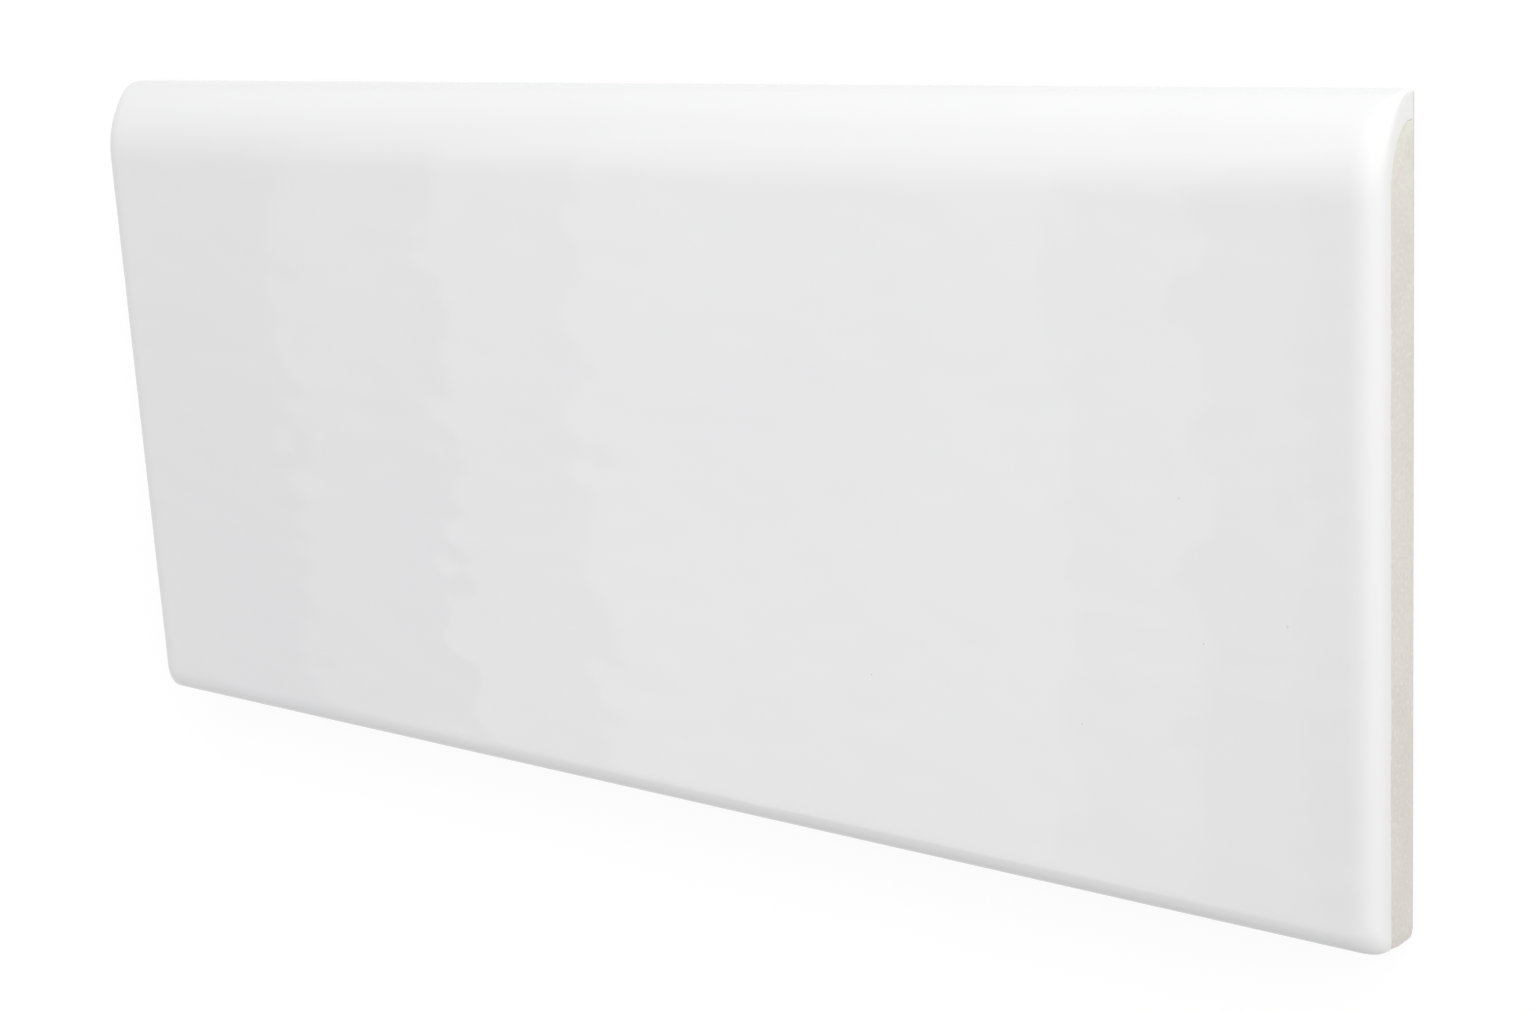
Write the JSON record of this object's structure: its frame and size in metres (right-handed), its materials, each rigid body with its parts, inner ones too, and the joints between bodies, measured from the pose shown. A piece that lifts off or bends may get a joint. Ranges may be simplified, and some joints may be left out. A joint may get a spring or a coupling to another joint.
{
  "type": "bullnose tile",
  "caption": "Rectangular glazed ceramic wall tile whose long upper edge is rounded over into a bullnose, with softened glazed edges and a flat keyed back that beds in adhesive.",
  "frame": {"origin": "middle of the flat back, the face that beds in the adhesive", "axes": "+X along the length and the bullnose, +Y across the tile towards the bullnose, +Z out of the glazed face"},
  "size_m": [0.15, 0.07, 0.007],
  "materials": {
    "white_glaze": "glossy white glaze on the face, the bullnose and the upper part of the edges; bare pale biscuit on the lower edges and the back"
  },
  "bodies": {
    "root": {"bullnose_tile": "white_glaze"}
  },
  "joints": []
}
